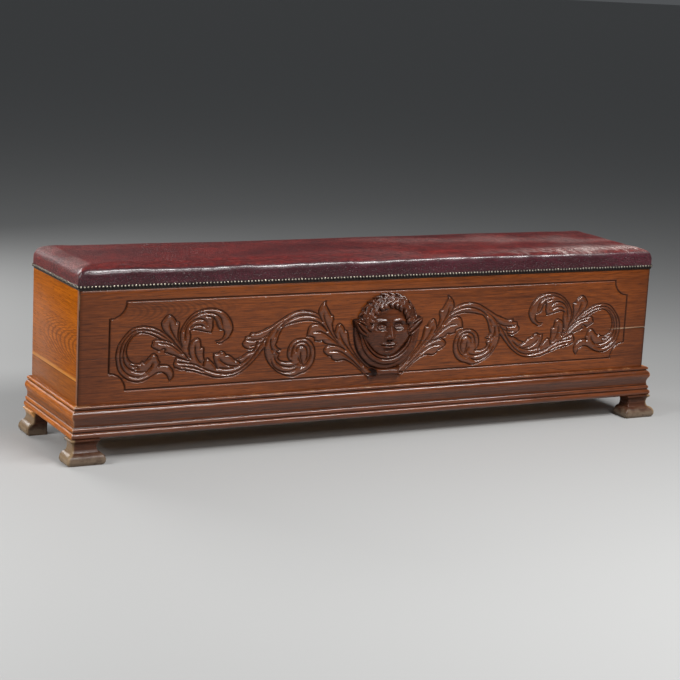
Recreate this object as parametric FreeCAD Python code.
import FreeCAD, Part
import math
import os

Vector = FreeCAD.Vector

# Driving dimensions in millimetres. X runs along the bench, the carved front faces -Y,
# Z is up, and the origin is on the floor under the middle of the whole outline.

# Case
CASE_LENGTH = 1810.0
CASE_DEPTH = 365.0
CASE_FACE_HEIGHT = 300.0
FRONT_THICK = 28.0
END_THICK = 25.0
BACK_THICK = 20.0
FRONT_REBATE = 14.0
BACK_REBATE = 13.0
FRONT_JOINT_Z = 273.0
END_JOINT_Z = 213.0
BACK_JOINT_Z = 262.0

# Feet and plinth moulding
FOOT_HEIGHT = 67.0
PLINTH_HEIGHT = 86.0
FOOT_TOP_REACH = 19.0
WAIST_REACH = 15.5
TOE_REACH = 36.0
FRONT_FOOT_INNER = 50.0
BACK_FOOT_INNER = 24.0
BACK_FOOT_DEPTH = 70.0
FOOT_FILLET = 6.0
TOE_UNDERCUT = 6.0
TOE_Z = 15.0
WAIST_Z = 46.0
DOWEL_RADIUS = 5.0
DOWEL_LENGTH = 50.0

# Floor of the coffer
FLOOR_THICK = 15.0
FLOOR_PLANKS = 3
PLANK_GAP = 1.0
LEDGER = 22.0
LEDGER_LIFT = 6.0
BEARER_WIDTH = 40.0
BEARER_X = 300.0
FLOOR_NAIL_RADIUS = 1.5

# Lid with its leather seat
LID_GAP = 0.6
LID_BOARD_THICK = 22.0
LID_OVERHANG = 4.0
LEATHER = 2.5
LEATHER_CLEAR = 0.3
LEATHER_LIFT = 3.4
SIDE_BULGE = 1.5
SEAT_SIDE_HEIGHT = 54.0
SHOULDER = 13.0
SEAT_CROWN = 9.0
CLEAT_WIDTH = 45.0
CLEAT_THICK = 18.0
CLEAT_X = 640.0
CLEAT_MARGIN = 16.0

# Upholstery nails
NAIL_HEAD_RADIUS = 4.7
NAIL_HEAD_HEIGHT = 2.6
NAIL_SIDES = 8
NAIL_DOME = [(1.0, 0.0), (0.8, 0.45), (0.45, 0.85)]
NAIL_SHANK_RADIUS = 0.8
NAIL_SHANK = 7.0
NAIL_POINT = 2.0
NAIL_PITCH = 10.0
NAIL_LIFT = 8.9

# Butt hinges
HINGE_X = 620.0
HINGE_WIDTH = 76.0
LEAF_THICK = 2.2
LEAF_REACH = 18.0
KNUCKLE_RADIUS = 5.0
KNUCKLE_OFFSET = 6.0
KNUCKLE_COUNT = 5
KNUCKLE_GAP = 0.2
KNUCKLE_CLEAR = 0.4
PIN_RADIUS = 2.5
PIN_CLEAR = 0.05
SCREW_HEAD_RADIUS = 3.6
SCREW_RADIUS = 1.9
SCREW_LENGTH = 15.0

# Carved front
PANEL_HALF = 828.0
PANEL_BOTTOM = 184.5
PANEL_TOP = 422.0
PANEL_SCOOP = 46.0
PANEL_LINE = 4.0
PANEL_LINE_DEPTH = 2.5
RELIEF = 5.0
RELIEF_ROOT = 2.0

# Places that follow from the driving dimensions
HALF = CASE_LENGTH / 2
FRONT_Y = -(CASE_DEPTH + KNUCKLE_OFFSET + KNUCKLE_RADIUS - TOE_REACH) / 2
BACK_Y = FRONT_Y + CASE_DEPTH
CASE_TOP = FOOT_HEIGHT + PLINTH_HEIGHT + CASE_FACE_HEIGHT
INNER_FRONT = FRONT_Y + FRONT_THICK
INNER_BACK = BACK_Y - BACK_THICK
INNER_HALF = HALF - END_THICK
FLOOR_BOTTOM = FOOT_HEIGHT + LEDGER_LIFT + LEDGER
FLOOR_TOP = FLOOR_BOTTOM + FLOOR_THICK
LID_BOTTOM = CASE_TOP + LID_GAP
AXIS_Y = BACK_Y + KNUCKLE_OFFSET
AXIS_Z = CASE_TOP + LID_GAP / 2
LEATHER_BOTTOM = LID_BOTTOM + LEATHER_LIFT
LID_FRONT = FRONT_Y - LID_OVERHANG
LID_BACK = BACK_Y
LID_HALF = HALF + LID_OVERHANG
BOARD_INSET = LEATHER + LEATHER_CLEAR

os.makedirs("parts", exist_ok=True)


def save(name, shape):
    shape.exportStep("parts/" + name + ".step")


def box(x0, x1, y0, y1, z0, z1):
    return Part.makeBox(x1 - x0, y1 - y0, z1 - z0, Vector(x0, y0, z0))


def line(a, b):
    return Part.LineSegment(a, b).toShape()


def arc(a, middle, b):
    return Part.Arc(a, middle, b).toShape()


def prism(edges, direction):
    return Part.Face(Part.Wire(Part.__sortEdges__(edges))).extrude(direction)


def mirrored(shape):
    return shape.mirror(Vector(0, 0, 0), Vector(1, 0, 0))


# Case boards: two boards to each wall, glued edge to edge. The front laps the ends
# in a rebate, and the back boards sit in rebates cut in the ends.

def panel_outline(grow):
    # Rectangle with scooped corners, drawn as an incised line round the carving
    radius = PANEL_SCOOP - grow
    half = PANEL_HALF + grow
    low = PANEL_BOTTOM - grow
    high = PANEL_TOP + grow
    along = math.sqrt(radius ** 2 - grow ** 2)
    slant = radius * math.sqrt(0.5)
    start_y = FRONT_Y - 1.0
    edges = []
    for side in (-1, 1):
        for corner_z, toward in ((PANEL_BOTTOM, 1), (PANEL_TOP, -1)):
            on_side = Vector(side * half, start_y, corner_z + toward * along)
            on_level = Vector(side * (PANEL_HALF - along), start_y, corner_z - toward * grow)
            middle = Vector(side * (PANEL_HALF - slant), start_y, corner_z + toward * slant)
            edges.append(arc(on_side, middle, on_level))
        edges.append(line(Vector(side * half, start_y, PANEL_BOTTOM + along),
                          Vector(side * half, start_y, PANEL_TOP - along)))
    for level in (low, high):
        edges.append(line(Vector(along - PANEL_HALF, start_y, level),
                          Vector(PANEL_HALF - along, start_y, level)))
    return prism(edges, Vector(0, 1.0 + PANEL_LINE_DEPTH, 0))


def ribbon(path):
    # A carved stem or leaf: a smooth centre line of (x, z, half width) stations
    left = []
    right = []
    for index, (x, z, half_width) in enumerate(path):
        before = path[max(index - 1, 0)]
        after = path[min(index + 1, len(path) - 1)]
        run = math.hypot(after[0] - before[0], after[1] - before[1])
        across_x = -(after[1] - before[1]) / run * half_width
        across_z = (after[0] - before[0]) / run * half_width
        left.append(Vector(x + across_x, FRONT_Y + RELIEF_ROOT, z + across_z))
        right.append(Vector(x - across_x, FRONT_Y + RELIEF_ROOT, z - across_z))
    edges = []
    for side in (left, right):
        curve = Part.BSplineCurve()
        curve.interpolate(side)
        edges.append(curve.toShape())
    edges.append(line(left[0], right[0]))
    edges.append(line(left[-1], right[-1]))
    return Part.Face(Part.Wire(Part.__sortEdges__(edges)))


# The left half of the scrolling foliage, from the middle outwards: (x, z, half width)
FOLIAGE = {
    "arch_and_volute": [(-100, 240, 8), (-150, 295, 10), (-185, 330, 12), (-220, 352, 14), (-268, 361, 15),
                        (-318, 347, 16), (-350, 315, 17), (-360, 280, 16), (-357, 248, 16), (-338, 222, 16),
                        (-300, 212, 16), (-262, 214, 13), (-238, 230, 11), (-231, 254, 9), (-240, 278, 8),
                        (-264, 289, 7), (-288, 283, 6), (-299, 264, 5), (-297, 246, 3)],
    "volute_eye": [(-300, 226, 4), (-280, 234, 12), (-262, 250, 18), (-256, 272, 3)],
    "low_leaf": [(-58, 190, 7), (-105, 226, 13), (-150, 249, 15), (-180, 258, 13), (-196, 258, 2)],
    "side_leaf": [(-110, 250, 8), (-155, 288, 14), (-200, 308, 17), (-235, 315, 16), (-250, 313, 5)],
    "inner_leaf": [(-58, 196, 6), (-92, 232, 13), (-125, 275, 18), (-142, 308, 15), (-150, 334, 2)],
    "tall_leaf": [(-140, 280, 10), (-170, 320, 17), (-191, 357, 18), (-198, 382, 9), (-198, 398, 1)],
    "long_stem": [(-345, 330, 8), (-383, 294, 17), (-405, 262, 22), (-432, 238, 21), (-465, 224, 18),
                  (-505, 219, 14), (-545, 227, 14), (-582, 246, 14), (-606, 275, 12)],
    "upper_hook": [(-600, 268, 10), (-610, 305, 10), (-603, 342, 13), (-582, 367, 14), (-552, 377, 14),
                   (-522, 372, 14), (-498, 354, 14), (-487, 330, 12), (-492, 309, 8), (-514, 299, 2)],
    "hook_lobe": [(-603, 312, 8), (-585, 342, 13), (-560, 352, 14), (-537, 341, 4)],
    "fork_leaf": [(-372, 300, 12), (-400, 302, 17), (-428, 295, 15), (-443, 288, 3)],
    "fork_lobe": [(-390, 278, 10), (-412, 274, 12), (-431, 266, 2)],
    "trough_leaf": [(-425, 236, 10), (-470, 243, 13), (-500, 254, 16), (-526, 266, 5)],
    "standing_leaf": [(-548, 232, 12), (-566, 262, 18), (-578, 290, 17), (-576, 314, 4)],
    "back_leaf": [(-548, 226, 10), (-590, 240, 15), (-622, 246, 15), (-640, 246, 5)],
    "left_leaf": [(-590, 264, 8), (-640, 287, 14), (-675, 300, 17), (-704, 304, 6)],
    "upright_leaf": [(-606, 288, 8), (-632, 325, 15), (-648, 355, 19), (-655, 381, 3)],
    "end_scroll": [(-600, 272, 6), (-640, 310, 9), (-680, 335, 11), (-720, 343, 10), (-755, 333, 13),
                   (-780, 306, 17), (-786, 274, 18), (-778, 246, 20), (-755, 228, 19), (-722, 222, 15)],
    "end_leaf": [(-745, 226, 12), (-712, 240, 17), (-695, 262, 13), (-697, 281, 2)],
    "end_tail": [(-722, 222, 10), (-690, 232, 10), (-662, 236, 11), (-646, 221, 9), (-650, 203, 1)],
}


def foliage():
    faces = []
    for path in FOLIAGE.values():
        face = ribbon(path)
        faces.append(face)
        faces.append(mirrored(face))
    flat = faces[0].multiFuse(faces[1:]).removeSplitter()
    return flat.extrude(Vector(0, -(RELIEF + RELIEF_ROOT), 0))


def front_blank():
    blank = box(-HALF, HALF, FRONT_Y, INNER_FRONT, FOOT_HEIGHT, CASE_TOP)
    for side in (-1, 1):
        x0, x1 = sorted((side * INNER_HALF, side * HALF))
        blank = blank.cut(box(x0, x1, FRONT_Y + FRONT_REBATE, INNER_FRONT, FOOT_HEIGHT, CASE_TOP))
    line_groove = panel_outline(PANEL_LINE / 2).cut(panel_outline(-PANEL_LINE / 2))
    return blank.cut(line_groove).fuse(foliage())


def split_at(shape, level, names):
    low = shape.common(box(-2 * HALF, 2 * HALF, -HALF, HALF, 0, level))
    high = shape.common(box(-2 * HALF, 2 * HALF, -HALF, HALF, level, 2 * CASE_TOP))
    save(names[0], low)
    save(names[1], high)
    return low, high


def end_blank():
    blank = box(-HALF, -INNER_HALF, FRONT_Y + FRONT_REBATE, BACK_Y, FOOT_HEIGHT, CASE_TOP)
    rebate = box(-INNER_HALF - BACK_REBATE, -INNER_HALF, INNER_BACK, BACK_Y, FOOT_HEIGHT, CASE_TOP)
    return blank.cut(rebate)


def back_blank():
    half = INNER_HALF + BACK_REBATE
    blank = box(-half, half, INNER_BACK, BACK_Y, FOOT_HEIGHT, CASE_TOP)
    for x in (-HINGE_X, 0.0, HINGE_X):
        blank = blank.cut(box(x - HINGE_WIDTH / 2, x + HINGE_WIDTH / 2, BACK_Y - LEAF_REACH, BACK_Y,
                              CASE_TOP - LEAF_THICK, CASE_TOP))
    return blank


front_low, front_high = split_at(front_blank(), FRONT_JOINT_Z, ("front_lower_board", "front_upper_board"))
split_at(end_blank(), END_JOINT_Z, ("left_end_lower_board", "left_end_upper_board"))
split_at(mirrored(end_blank()), END_JOINT_Z, ("right_end_lower_board", "right_end_upper_board"))
split_at(back_blank(), BACK_JOINT_Z, ("back_lower_board", "back_upper_board"))


# Floor of the coffer: planks on ledgers and two bearers, nailed down

def coffer_floor():
    width = (INNER_BACK - INNER_FRONT) / FLOOR_PLANKS
    for index in range(FLOOR_PLANKS):
        y0 = INNER_FRONT + index * width + PLANK_GAP / 2
        plank = box(-INNER_HALF, INNER_HALF, y0, y0 + width - PLANK_GAP, FLOOR_BOTTOM, FLOOR_TOP)
        save("floor_plank_" + str(index + 1), plank)

    low = FLOOR_BOTTOM - LEDGER
    save("front_ledger", box(-INNER_HALF, INNER_HALF, INNER_FRONT, INNER_FRONT + LEDGER, low, FLOOR_BOTTOM))
    save("back_ledger", box(-INNER_HALF, INNER_HALF, INNER_BACK - LEDGER, INNER_BACK, low, FLOOR_BOTTOM))
    between = (INNER_FRONT + LEDGER, INNER_BACK - LEDGER)
    left = box(-INNER_HALF, -INNER_HALF + LEDGER, *between, low, FLOOR_BOTTOM)
    save("left_ledger", left)
    save("right_ledger", mirrored(left))

    bearer = box(-BEARER_X - BEARER_WIDTH / 2, -BEARER_X + BEARER_WIDTH / 2, *between, low, FLOOR_BOTTOM)
    save("left_bearer", bearer)
    save("right_bearer", mirrored(bearer))

    nails = []
    nail_length = FLOOR_THICK + LEDGER / 2
    for x in (LEDGER / 2 - INNER_HALF, -BEARER_X, BEARER_X, INNER_HALF - LEDGER / 2):
        for index in range(FLOOR_PLANKS):
            for side in (0.25, 0.75):
                y = INNER_FRONT + (index + side) * width
                low_end = Vector(x, y, FLOOR_TOP - nail_length)
                nails.append(Part.makeCylinder(FLOOR_NAIL_RADIUS, nail_length, low_end))
    save("floor_nails", Part.makeCompound(nails))


coffer_floor()


# Plinth moulding: bead, broad torus, cove, fillet and lower bead, mitred at the front corners

def plinth_edges(place):
    top = FOOT_HEIGHT + PLINTH_HEIGHT
    low = FOOT_HEIGHT
    return [
        line(place(0, low), place(0, top)),
        line(place(0, top), place(10.5, top)),
        arc(place(10.5, top), place(14.5, top - 4), place(10.5, top - 8)),
        line(place(10.5, top - 8), place(9.5, top - 9.5)),
        line(place(9.5, top - 9.5), place(11.5, top - 10.5)),
        arc(place(11.5, top - 10.5), place(17.5, top - 19), place(15.5, top - 33)),
        arc(place(15.5, top - 33), place(11.5, top - 46), place(13, top - 55)),
        line(place(13, top - 55), place(15, top - 56)),
        line(place(15, top - 56), place(15, low + 21)),
        line(place(15, low + 21), place(13.5, low + 19)),
        arc(place(13.5, low + 19), place(20.5, low + 11), place(16, low)),
        line(place(16, low), place(0, low)),
    ]


def plinth():
    reach = 2 * TOE_REACH
    height = 2 * CASE_TOP
    front = prism(plinth_edges(lambda a, z: Vector(-HALF - reach, FRONT_Y - a, z)),
                  Vector(2 * (HALF + reach), 0, 0))
    corners = [Vector(-HALF, FRONT_Y, 0), Vector(HALF, FRONT_Y, 0),
               Vector(HALF + reach, FRONT_Y - reach, 0), Vector(-HALF - reach, FRONT_Y - reach, 0)]
    mitre = Part.Face(Part.makePolygon(corners + corners[:1])).extrude(Vector(0, 0, height))
    save("front_plinth_moulding", front.common(mitre))

    side = prism(plinth_edges(lambda a, z: Vector(-HALF - a, FRONT_Y - reach, z)),
                 Vector(0, CASE_DEPTH + reach, 0))
    corners = [Vector(-HALF, FRONT_Y, 0), Vector(-HALF, BACK_Y, 0),
               Vector(-HALF - reach, BACK_Y, 0), Vector(-HALF - reach, FRONT_Y - reach, 0)]
    mitre = Part.Face(Part.makePolygon(corners + corners[:1])).extrude(Vector(0, 0, height))
    side = side.common(mitre)
    save("left_plinth_moulding", side)
    save("right_plinth_moulding", mirrored(side))


plinth()


# Feet: solid ogee blocks, the front pair moulded on three sides, the back pair on the outer side

def ogee_edges(place):
    # From the top down: upright fillet, small quirk, hollow waist and round toe
    fillet_low = place(FOOT_TOP_REACH, FOOT_HEIGHT - FOOT_FILLET)
    quirk = place(WAIST_REACH + 2, FOOT_HEIGHT - FOOT_FILLET - 1)
    ankle = place(WAIST_REACH + 4.5, 2 * TOE_Z + 2)
    return [
        line(place(FOOT_TOP_REACH, FOOT_HEIGHT), fillet_low),
        line(fillet_low, quirk),
        arc(quirk, place(WAIST_REACH, WAIST_Z), ankle),
        arc(ankle, place(TOE_REACH, TOE_Z), place(TOE_REACH - TOE_UNDERCUT, 0)),
    ]


def foot_block(inner_reach, inner_ogee):
    # Section across the bench, moulded on the outer side and, on a front foot, on the inner one
    outer = ogee_edges(lambda a, z: Vector(-HALF - a, -HALF, z))
    if inner_ogee:
        shift = inner_reach - WAIST_REACH
        inner = ogee_edges(lambda a, z: Vector(-HALF + shift + a, -HALF, z))
        top_end = Vector(-HALF + shift + FOOT_TOP_REACH, -HALF, FOOT_HEIGHT)
        low_end = Vector(-HALF + shift + TOE_REACH - TOE_UNDERCUT, -HALF, 0)
    else:
        top_end = Vector(-HALF + inner_reach, -HALF, FOOT_HEIGHT)
        low_end = Vector(-HALF + inner_reach, -HALF, 0)
        inner = [line(top_end, low_end)]
    closing = [line(Vector(-HALF - FOOT_TOP_REACH, -HALF, FOOT_HEIGHT), top_end),
               line(Vector(-HALF - TOE_REACH + TOE_UNDERCUT, -HALF, 0), low_end)]
    return prism(outer + inner + closing, Vector(0, CASE_LENGTH, 0))


def feet():
    front_edges = ogee_edges(lambda a, z: Vector(-2 * HALF, FRONT_Y - a, z))
    back_top = Vector(-2 * HALF, INNER_FRONT, FOOT_HEIGHT)
    back_low = Vector(-2 * HALF, INNER_FRONT, 0)
    front_edges += [line(Vector(-2 * HALF, FRONT_Y - FOOT_TOP_REACH, FOOT_HEIGHT), back_top),
                    line(back_top, back_low),
                    line(Vector(-2 * HALF, FRONT_Y - TOE_REACH + TOE_UNDERCUT, 0), back_low)]
    front = prism(front_edges, Vector(4 * HALF, 0, 0)).common(foot_block(FRONT_FOOT_INNER, True))
    save("front_left_foot", front)
    save("front_right_foot", mirrored(front))

    depth = box(-2 * HALF, 2 * HALF, BACK_Y - BACK_FOOT_DEPTH, BACK_Y, 0, FOOT_HEIGHT)
    back = depth.common(foot_block(BACK_FOOT_INNER, False))
    save("back_left_foot", back)
    save("back_right_foot", mirrored(back))

    # Two dowels in each foot, up into the front board or the end board above it
    places = [(HALF - END_THICK / 2, FRONT_Y + FRONT_REBATE / 2),
              (HALF - 1.5 * END_THICK, FRONT_Y + FRONT_REBATE),
              (HALF - DOWEL_RADIUS - 1, BACK_Y - BACK_THICK),
              (HALF - DOWEL_RADIUS - 1, BACK_Y - BACK_FOOT_DEPTH + BACK_THICK)]
    dowels = []
    for side in (-1, 1):
        for x, y in places:
            low_end = Vector(side * x, y, FOOT_HEIGHT - DOWEL_LENGTH / 2)
            dowels.append(Part.makeCylinder(DOWEL_RADIUS, DOWEL_LENGTH, low_end))
    save("foot_dowels", Part.makeCompound(dowels))


feet()


# Lid: two boards held by cleats, a crowned stuffing and a leather cover drawn down over it

def seat_section(low, half_width, inset, place):
    # Half outlines mirrored about the middle: upright nailed edge, soft bulge, shoulder and crown
    half = half_width - inset
    top = LID_BOTTOM + SEAT_SIDE_HEIGHT - inset
    nailed = LID_BOTTOM + LID_BOARD_THICK
    shoulder_z = top - SHOULDER * 0.8
    bulge_z = (nailed + shoulder_z) / 2
    edges = [line(place(-half, low), place(half, low))]
    for side in (-1, 1):
        edges.append(line(place(side * half, low), place(side * half, nailed)))
        edges.append(arc(place(side * half, nailed), place(side * (half + SIDE_BULGE), bulge_z),
                         place(side * (half - 1), shoulder_z)))
        edges.append(arc(place(side * (half - 1), shoulder_z),
                         place(side * (half - SHOULDER * 0.38), top - SHOULDER * 0.27),
                         place(side * (half - SHOULDER), top)))
    edges.append(arc(place(SHOULDER - half, top), place(0, top + SEAT_CROWN), place(half - SHOULDER, top)))
    return edges


def seat_form(low, inset):
    middle = (LID_FRONT + LID_BACK) / 2
    depth_half = (LID_BACK - LID_FRONT) / 2
    along = prism(seat_section(low, depth_half, inset, lambda a, z: Vector(-2 * HALF, middle + a, z)),
                  Vector(4 * HALF, 0, 0))
    across = prism(seat_section(low, LID_HALF, inset, lambda a, z: Vector(a, -HALF, z)),
                   Vector(0, CASE_LENGTH, 0))
    return along.common(across)


def lid():
    half = LID_HALF - BOARD_INSET
    front = LID_FRONT + BOARD_INSET
    back = LID_BACK - BOARD_INSET
    middle = (front + back) / 2
    top = LID_BOTTOM + LID_BOARD_THICK
    save("lid_front_board", box(-half, half, front, middle, LID_BOTTOM, top))
    back_board = box(-half, half, middle, back, LID_BOTTOM, top)
    for x in (-HINGE_X, 0.0, HINGE_X):
        back_board = back_board.cut(box(x - HINGE_WIDTH / 2, x + HINGE_WIDTH / 2, BACK_Y - LEAF_REACH, back,
                                        LID_BOTTOM, LID_BOTTOM + LEAF_THICK))
    save("lid_back_board", back_board)

    under_stuffing = box(-2 * HALF, 2 * HALF, -HALF, HALF, 0, top)
    save("seat_stuffing", seat_form(LID_BOTTOM, BOARD_INSET).cut(under_stuffing))
    cover = seat_form(LEATHER_BOTTOM, 0.0).cut(seat_form(LEATHER_BOTTOM - 1, LEATHER))
    save("leather_cover", cover)

    screws = []
    cleat_low = LID_BOTTOM - CLEAT_THICK
    cleat_front = INNER_FRONT + CLEAT_MARGIN
    cleat_back = INNER_BACK - LEAF_REACH - CLEAT_MARGIN
    for name, x in (("left", -CLEAT_X), ("centre", 0.0), ("right", CLEAT_X)):
        save("lid_cleat_" + name, box(x - CLEAT_WIDTH / 2, x + CLEAT_WIDTH / 2,
                                      cleat_front, cleat_back, cleat_low, LID_BOTTOM))
        for share in (0.12, 0.38, 0.62, 0.88):
            place = Vector(x, cleat_front + share * (cleat_back - cleat_front), cleat_low)
            shank = Part.makeCylinder(SCREW_RADIUS, CLEAT_THICK + SCREW_LENGTH, place)
            head = Part.makeCone(SCREW_HEAD_RADIUS, SCREW_RADIUS, SCREW_RADIUS, place)
            screws.append(shank.fuse(head))
    save("cleat_screws", Part.makeCompound(screws))


lid()


# Close-set domed nails along the lower edge of the leather

def ring(radius, y, sides):
    points = []
    for index in range(sides):
        angle = 2 * math.pi * (index + 0.5) / sides
        points.append(Vector(radius * math.cos(angle), y, radius * math.sin(angle)))
    return points


def polygon(points):
    return Part.Face(Part.makePolygon(points + points[:1]))


def stacked_solid(rings, tip):
    # Flat faces from a closed first ring through each next ring to a point
    faces = [polygon(rings[0])]
    sides = len(rings[0])
    for index in range(sides):
        after = (index + 1) % sides
        for low, high in zip(rings, rings[1:]):
            faces.append(polygon([low[index], low[after], high[after], high[index]]))
        faces.append(polygon([rings[-1][index], rings[-1][after], tip]))
    return Part.Solid(Part.Shell(faces))


def nail(shank_length):
    # Hammered head on the plane y = 0, domed towards -Y, with a square shank along +Y
    dome = [ring(NAIL_HEAD_RADIUS * across, -NAIL_HEAD_HEIGHT * up, NAIL_SIDES) for across, up in NAIL_DOME]
    head = stacked_solid(dome, Vector(0, -NAIL_HEAD_HEIGHT, 0))
    root = -NAIL_HEAD_HEIGHT / 2
    stem = [ring(NAIL_SHANK_RADIUS, y, 4) for y in (root, shank_length - NAIL_POINT)]
    shank = stacked_solid(stem, Vector(0, shank_length, 0))
    return head.fuse(shank)


def nail_row(start, end, turn, end_shank):
    # An even row of nails between two points, turned about Z to face outwards
    patterns = []
    for shank_length in (NAIL_SHANK, end_shank):
        pattern = nail(shank_length)
        pattern.rotate(Vector(0, 0, 0), Vector(0, 0, 1), turn)
        patterns.append(pattern)
    count = round((end - start).Length / NAIL_PITCH)
    row = []
    for index in range(count + 1):
        pattern = patterns[1] if index in (0, count) else patterns[0]
        row.append(pattern.translated(start + (end - start) * (index / count)))
    return Part.makeCompound(row)


def nails():
    # The end nails of the side rows are cut short, to stay clear of the corner nails of the long rows
    z = LEATHER_BOTTOM + NAIL_LIFT - LEATHER_LIFT
    margin = NAIL_HEAD_RADIUS + 0.5
    corner_shank = margin - 2 * NAIL_SHANK_RADIUS
    save("front_nails", nail_row(Vector(margin - LID_HALF, LID_FRONT, z),
                                 Vector(LID_HALF - margin, LID_FRONT, z), 0, NAIL_SHANK))
    save("back_nails", nail_row(Vector(margin - LID_HALF, LID_BACK, z),
                                Vector(LID_HALF - margin, LID_BACK, z), 180, NAIL_SHANK))
    save("left_nails", nail_row(Vector(-LID_HALF, LID_FRONT + margin, z),
                                Vector(-LID_HALF, LID_BACK - margin, z), -90, corner_shank))
    save("right_nails", nail_row(Vector(LID_HALF, LID_FRONT + margin, z),
                                 Vector(LID_HALF, LID_BACK - margin, z), 90, corner_shank))


nails()


# Butt hinges: one leaf let into the top of the back, the other into the underside of the lid

def hinge_axis_rod(radius, x0, x1):
    return Part.makeCylinder(radius, x1 - x0, Vector(x0, AXIS_Y, AXIS_Z), Vector(1, 0, 0))


def hinge_leaf(x, z0, z1, mine, screw_face, screw_into):
    # mine lists the knuckles this leaf holds, screw_face is the face where the screw heads lie
    start = x - HINGE_WIDTH / 2
    pitch = HINGE_WIDTH / KNUCKLE_COUNT
    leaf = box(start, start + HINGE_WIDTH, BACK_Y - LEAF_REACH, AXIS_Y - PIN_RADIUS, z0, z1)
    for index in range(KNUCKLE_COUNT):
        x0 = start + index * pitch
        if index in mine:
            x0 += KNUCKLE_GAP / 2
            leaf = leaf.fuse(hinge_axis_rod(KNUCKLE_RADIUS, x0, x0 + pitch - KNUCKLE_GAP))
    for index in range(KNUCKLE_COUNT):
        x0 = start + index * pitch
        if index not in mine:
            room = KNUCKLE_RADIUS + KNUCKLE_CLEAR
            leaf = leaf.cut(hinge_axis_rod(room, x0 - KNUCKLE_GAP / 2, x0 + pitch + KNUCKLE_GAP / 2))
    leaf = leaf.cut(hinge_axis_rod(PIN_RADIUS + PIN_CLEAR, start - 1, start + HINGE_WIDTH + 1))

    screws = []
    for share in (-0.36, 0.0, 0.36):
        head_place = Vector(x + share * HINGE_WIDTH, BACK_Y - LEAF_REACH * 0.55, screw_face)
        direction = Vector(0, 0, screw_into)
        head = Part.makeCone(SCREW_HEAD_RADIUS, SCREW_RADIUS, LEAF_THICK * 0.8, head_place, direction)
        shank = Part.makeCylinder(SCREW_RADIUS, SCREW_LENGTH, head_place, direction)
        screw = head.fuse(shank)
        leaf = leaf.cut(screw)
        screws.append(screw)
    return leaf, screws


def hinges():
    case_screws = []
    lid_screws = []
    case_knuckles = range(0, KNUCKLE_COUNT, 2)
    lid_knuckles = range(1, KNUCKLE_COUNT, 2)
    for name, x in (("left", -HINGE_X), ("centre", 0.0), ("right", HINGE_X)):
        case_leaf, screws = hinge_leaf(x, CASE_TOP - LEAF_THICK, CASE_TOP, case_knuckles, CASE_TOP, -1)
        case_screws += screws
        lid_leaf, screws = hinge_leaf(x, LID_BOTTOM, LID_BOTTOM + LEAF_THICK, lid_knuckles, LID_BOTTOM, 1)
        lid_screws += screws
        save(name + "_hinge_case_leaf", case_leaf)
        save(name + "_hinge_lid_leaf", lid_leaf)
        pin = hinge_axis_rod(PIN_RADIUS, x - HINGE_WIDTH / 2, x + HINGE_WIDTH / 2)
        save(name + "_hinge_pin", pin)
    save("hinge_case_screws", Part.makeCompound(case_screws))
    save("hinge_lid_screws", Part.makeCompound(lid_screws))


hinges()


# Carved boss in the middle of the front: a calm mask with pointed ears and a head of hair,
# over a drape that ends in a rolled scroll

MASK_Z = 318.0
HAIR = (93.0, 22.0, 94.0)
FACE = (66.0, 33.0, 84.0)
NOSE = (9.0, 9.0, 20.0)
DRAPE = (62.0, 15.0, 46.0)
EAR_LENGTH = 36.0
EAR_ROOT = 16.0
EAR_TIP = 2.0
ROLL_LENGTH = 92.0
ROLL_RADIUS = 10.0
ROLL_Z = 192.0


def ellipsoid(x, y, z, radii):
    stretch = FreeCAD.Matrix()
    stretch.scale(Vector(*radii))
    form = Part.makeSphere(1.0).transformGeometry(stretch)
    form.translate(Vector(x, y, z))
    return form


def mask():
    boss = ellipsoid(0, FRONT_Y, MASK_Z, HAIR)
    boss = boss.fuse(ellipsoid(0, FRONT_Y, MASK_Z - 14, FACE))
    boss = boss.fuse(ellipsoid(0, FRONT_Y - FACE[1] + 6, MASK_Z - 22, NOSE))
    boss = boss.fuse(ellipsoid(0, FRONT_Y, MASK_Z - 68, DRAPE))
    for side in (-1, 1):
        root = Vector(side * 70, FRONT_Y - 8, MASK_Z + 10)
        ear = Part.makeCone(EAR_ROOT, EAR_TIP, EAR_LENGTH, root, Vector(side, -0.1, 0.25))
        boss = boss.fuse(ear)
    backed = box(-HALF, HALF, FRONT_Y, BACK_Y, 0, CASE_TOP)
    return boss.cut(backed).cut(front_low).cut(front_high)


def drape_roll():
    roll = Part.makeCylinder(ROLL_RADIUS, ROLL_LENGTH,
                             Vector(-ROLL_LENGTH / 2, FRONT_Y - ROLL_RADIUS * 0.8, ROLL_Z), Vector(1, 0, 0))
    backed = box(-HALF, HALF, FRONT_Y, BACK_Y, 0, CASE_TOP)
    return roll.cut(backed).cut(front_low).cut(front_high)


save("mask", mask())
save("drape_roll", drape_roll())
